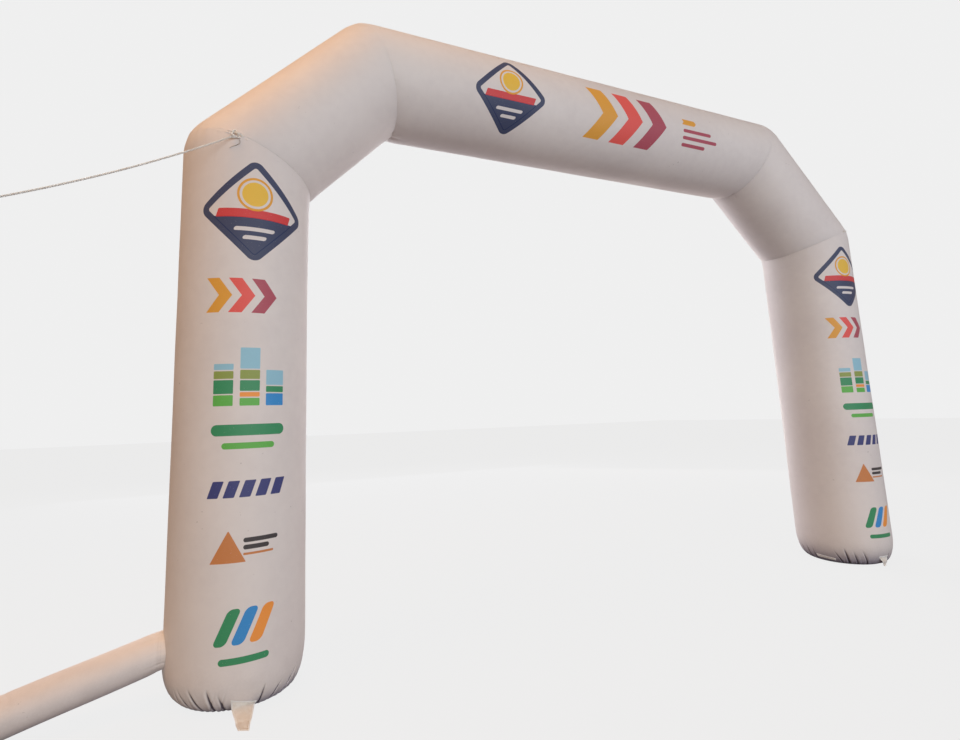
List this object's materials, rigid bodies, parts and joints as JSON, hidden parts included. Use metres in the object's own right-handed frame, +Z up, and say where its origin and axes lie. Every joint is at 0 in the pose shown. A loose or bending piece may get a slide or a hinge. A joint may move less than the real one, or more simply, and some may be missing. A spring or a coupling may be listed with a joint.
{
  "type": "inflatable gateway arch",
  "caption": "Inflatable gateway arch of mitred white cloth tubes with printed panels, an air duct, ground tabs and a guy rope.",
  "frame": {"origin": "on the ground, under the middle of the box round the arch and its duct", "axes": "+Z up; +X along the width, from the leg with the air duct to the other leg; -Y is the printed front"},
  "size_m": [8.5932, 1.3537, 5.093],
  "materials": {
    "coated_cloth": "satin coated cloth",
    "ground_panel_cloth": "matte reinforced cloth",
    "tab_cloth": "matte cloth",
    "strap_webbing": "matte webbing",
    "guy_rope": "twisted rope"
  },
  "bodies": {
    "root": {"left_leg": "coated_cloth", "right_leg": "coated_cloth", "left_shoulder": "coated_cloth", "beam": "coated_cloth", "right_shoulder": "coated_cloth", "inlet_duct": "coated_cloth", "duct_cuff": "coated_cloth", "left_ground_panel": "ground_panel_cloth", "right_ground_panel": "ground_panel_cloth", "left_front_tab": "tab_cloth", "right_front_tab": "tab_cloth", "right_inner_tab": "tab_cloth", "left_guy_strap": "strap_webbing", "right_guy_strap": "strap_webbing", "guy_rope": "guy_rope", "guy_knot": "guy_rope", "guy_tail": "guy_rope", "guy_eye": "guy_rope"}
  },
  "joints": []
}
